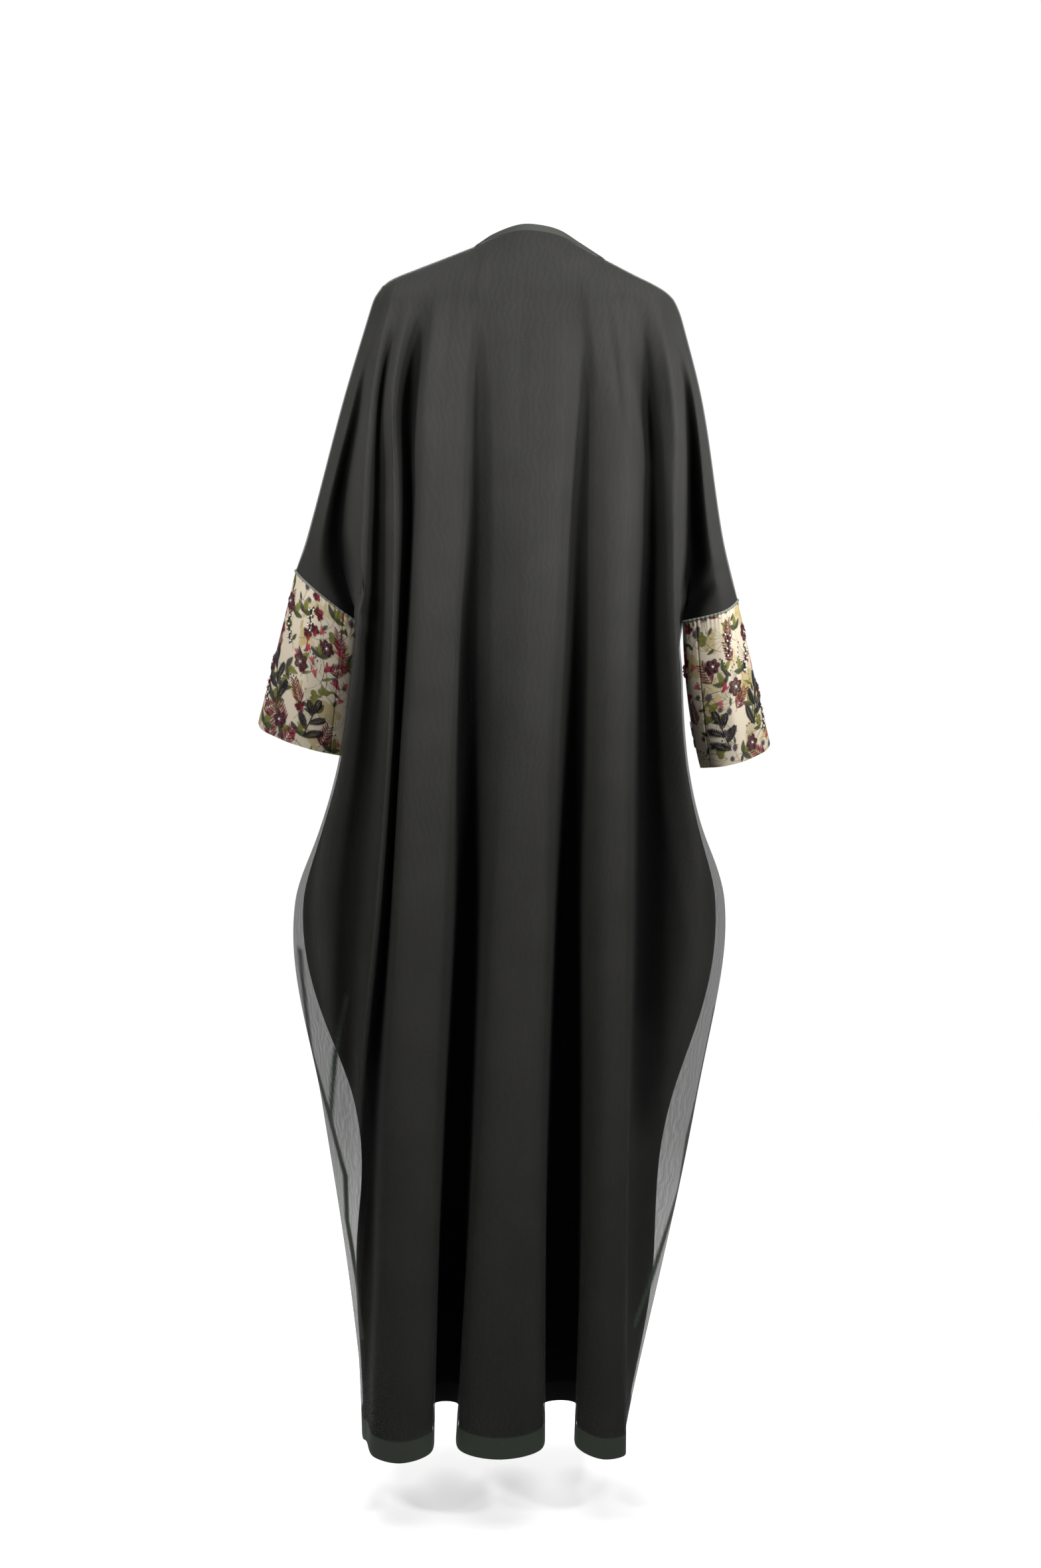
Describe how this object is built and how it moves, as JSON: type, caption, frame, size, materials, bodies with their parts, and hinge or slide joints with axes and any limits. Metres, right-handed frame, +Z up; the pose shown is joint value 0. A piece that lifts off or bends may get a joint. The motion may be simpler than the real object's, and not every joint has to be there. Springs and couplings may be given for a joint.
{
  "type": "embroidered abaya",
  "caption": "Floor-length open-front abaya in worn, hollow form: sheer overlay over a crepe lining, wide sleeves cut in one, printed and beaded cuffs, narrow neck binding.",
  "frame": {"origin": "middle of the neck opening, level with the top of the shoulder seams, where the worn garment rests on the neck and shoulders", "axes": "+Z up, the garment's front faces -Y, the wearer's left is +X"},
  "size_m": [0.654, 0.3133, 1.4854],
  "materials": {
    "organza": "sheer organza, soft sheen",
    "crepe": "matt crepe",
    "binding": "bias binding",
    "printed_cloth": "printed cloth with beads and sequins"
  },
  "bodies": {
    "root": {"outer_back_left": "organza", "outer_back_middle": "organza", "outer_back_right": "organza", "outer_front_left": "organza", "outer_front_right": "organza", "inner_back": "crepe", "inner_front_left": "crepe", "inner_front_right": "crepe", "neck_band": "binding", "cuff_left": "printed_cloth", "cuff_right": "printed_cloth"}
  },
  "joints": []
}
